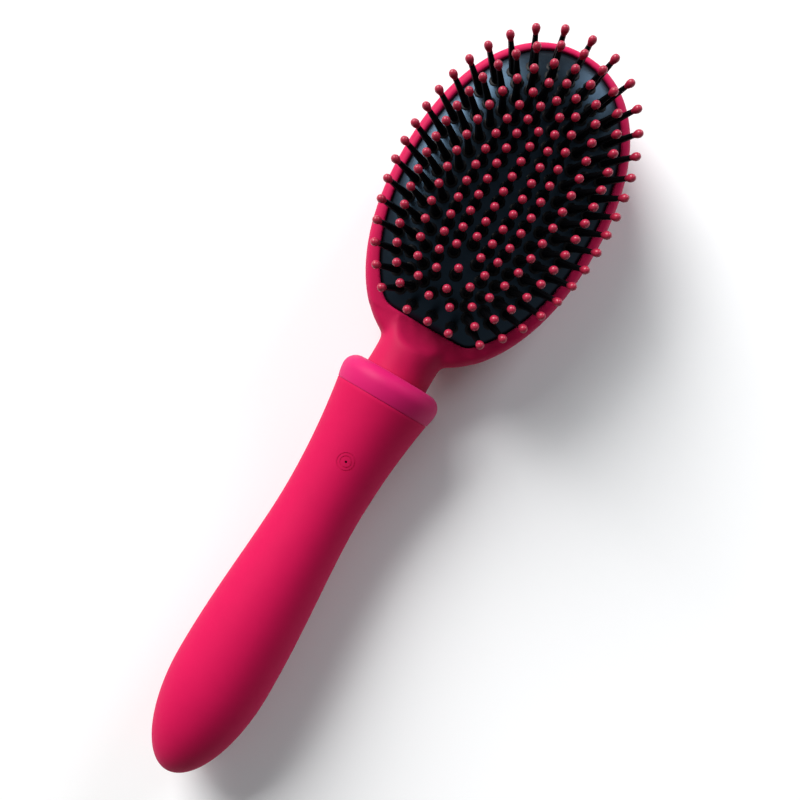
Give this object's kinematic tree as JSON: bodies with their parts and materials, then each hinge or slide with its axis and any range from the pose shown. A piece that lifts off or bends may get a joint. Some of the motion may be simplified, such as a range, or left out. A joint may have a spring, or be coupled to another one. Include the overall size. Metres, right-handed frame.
{
  "type": "vibrating styling brush",
  "caption": "Oval cushion hair brush with ball-tipped pins on a rounded soft-skinned handle that holds a rechargeable cell, a button and a vibration motor.",
  "frame": {"origin": "on the head's flat back, under the head's widest line, on the handle's centre plane", "axes": "+Y along the brush towards the head's tip, +X across it, +Z the way the pins stand"},
  "size_m": [0.0648, 0.2452, 0.0427],
  "materials": {
    "soft_touch": "satin soft-touch",
    "collar_plastic": "semi-gloss",
    "silicone": "matte silicone",
    "cushion_rubber": "satin",
    "core_plastic": "moulded",
    "black_plastic": "moulded",
    "board": "solder mask",
    "lamp": "clear",
    "steel": "plain",
    "brass": "plain",
    "weight_metal": "sintered",
    "cell_wrap": "shrink film",
    "foam": "open foam",
    "lead_red": "insulation",
    "lead_black": "insulation"
  },
  "bodies": {
    "brush_body": {"head_shell": "soft_touch", "pin_cushion": "cushion_rubber", "neck_o_ring": "cushion_rubber", "collar": "collar_plastic", "handle_sleeve": "silicone", "core_front": "core_plastic", "core_rear": "core_plastic", "circuit_board": "board", "charge_jack": "black_plastic", "control_chip": "black_plastic", "charge_led": "lamp", "switch_body": "black_plastic", "battery_cell": "cell_wrap", "battery_pad": "foam", "battery_tab_positive": "steel", "battery_tab_negative": "steel", "motor_can": "steel", "motor_end_cap": "black_plastic", "motor_boot": "cushion_rubber", "motor_terminal_red": "brass", "motor_terminal_black": "brass", "battery_lead_red": "lead_red", "battery_lead_black": "lead_black", "motor_lead_red": "lead_red", "motor_lead_black": "lead_black", "neck_screw_front": "steel", "neck_screw_rear": "steel", "core_screw_upper": "steel", "core_screw_lower": "steel", "board_screw_upper": "steel", "board_screw_lower": "steel"},
    "button": {"power_button": "soft_touch"},
    "plunger": {"switch_plunger": "black_plastic"},
    "motor_rotor": {"motor_shaft": "steel", "eccentric_weight": "weight_metal"}
  },
  "joints": [
    {"name": "button_press", "type": "slide", "parent": "brush_body", "child": "button", "axis": [0, 0, 1], "range_m": [0, 0.0004], "stiffness_N_per_m": 300},
    {"name": "plunger_press", "type": "slide", "parent": "brush_body", "child": "plunger", "axis": [0, 0, 1], "range_m": [0, 0.0004]},
    {"name": "rotor_spin", "type": "hinge", "parent": "brush_body", "child": "motor_rotor", "pos_m": [0, -0.1776, 0.016], "axis": [0, 1, 0], "continuous": true}
  ],
  "couplings": [
    {"joint": "plunger_press", "follows": "button_press", "ratio": 1}
  ]
}
